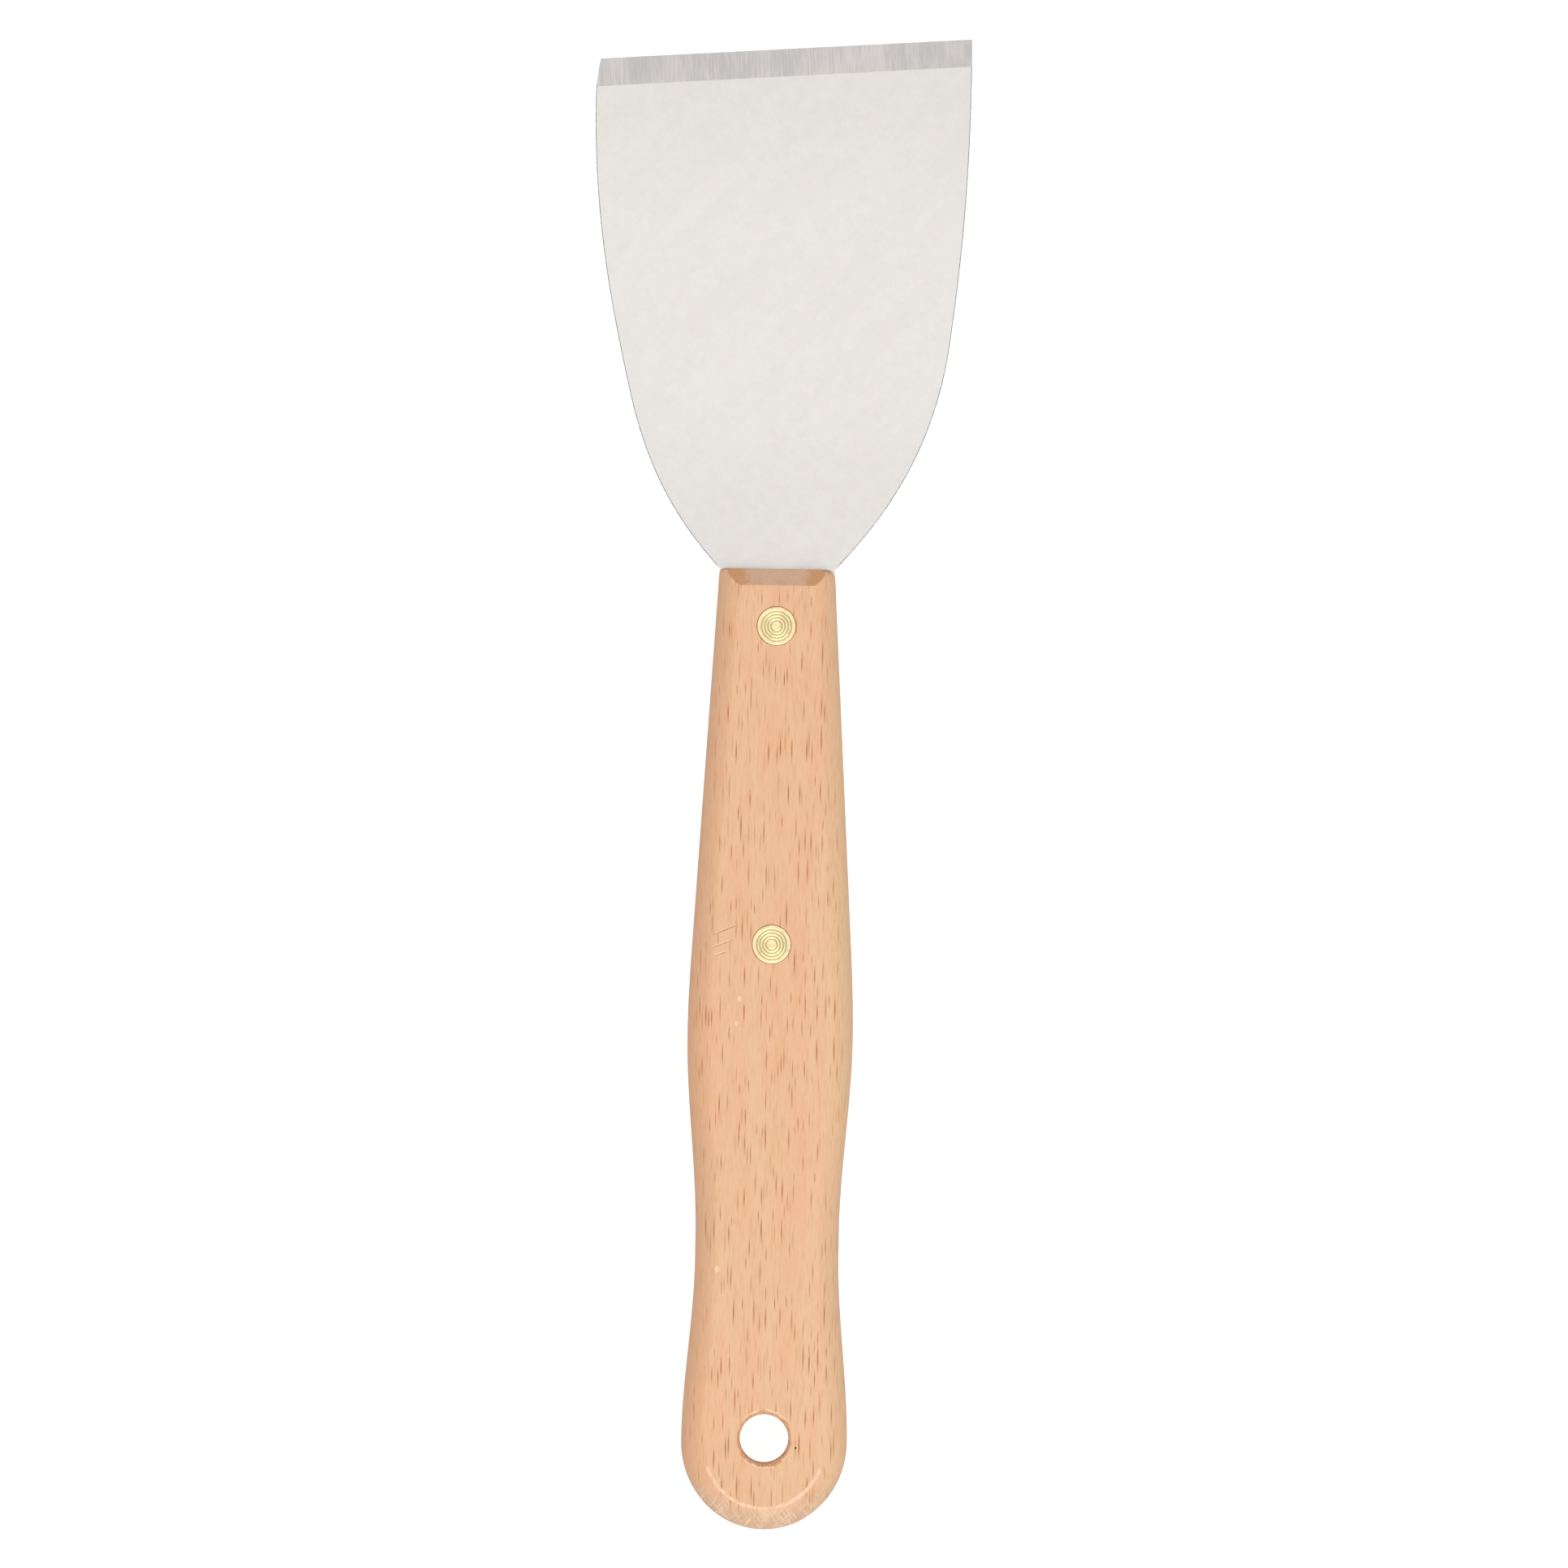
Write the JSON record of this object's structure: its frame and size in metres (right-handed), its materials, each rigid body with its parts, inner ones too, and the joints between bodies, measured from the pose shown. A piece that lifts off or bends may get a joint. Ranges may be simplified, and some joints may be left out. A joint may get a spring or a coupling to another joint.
{
  "type": "taping knife",
  "caption": "Drywall taping knife: a flared flat steel blade with a ground straight edge, riveted by its tang into a shaped beech handle with a round butt and a hang hole.",
  "frame": {"origin": "middle of the knife's overall length and width, on the plane of the handle's back face", "axes": "+Y along the handle towards the blade's working edge, +Z out of the handle's front face, +X across the blade"},
  "size_m": [0.0771, 0.306, 0.0132],
  "materials": {
    "blade_steel": "satin",
    "beech": "matte",
    "rivet_brass": "satin"
  },
  "bodies": {
    "root": {"blade": "blade_steel", "handle": "beech", "front_rivet_pin": "rivet_brass", "front_rivet_sleeve": "rivet_brass", "rear_rivet_pin": "rivet_brass", "rear_rivet_sleeve": "rivet_brass"}
  },
  "joints": []
}
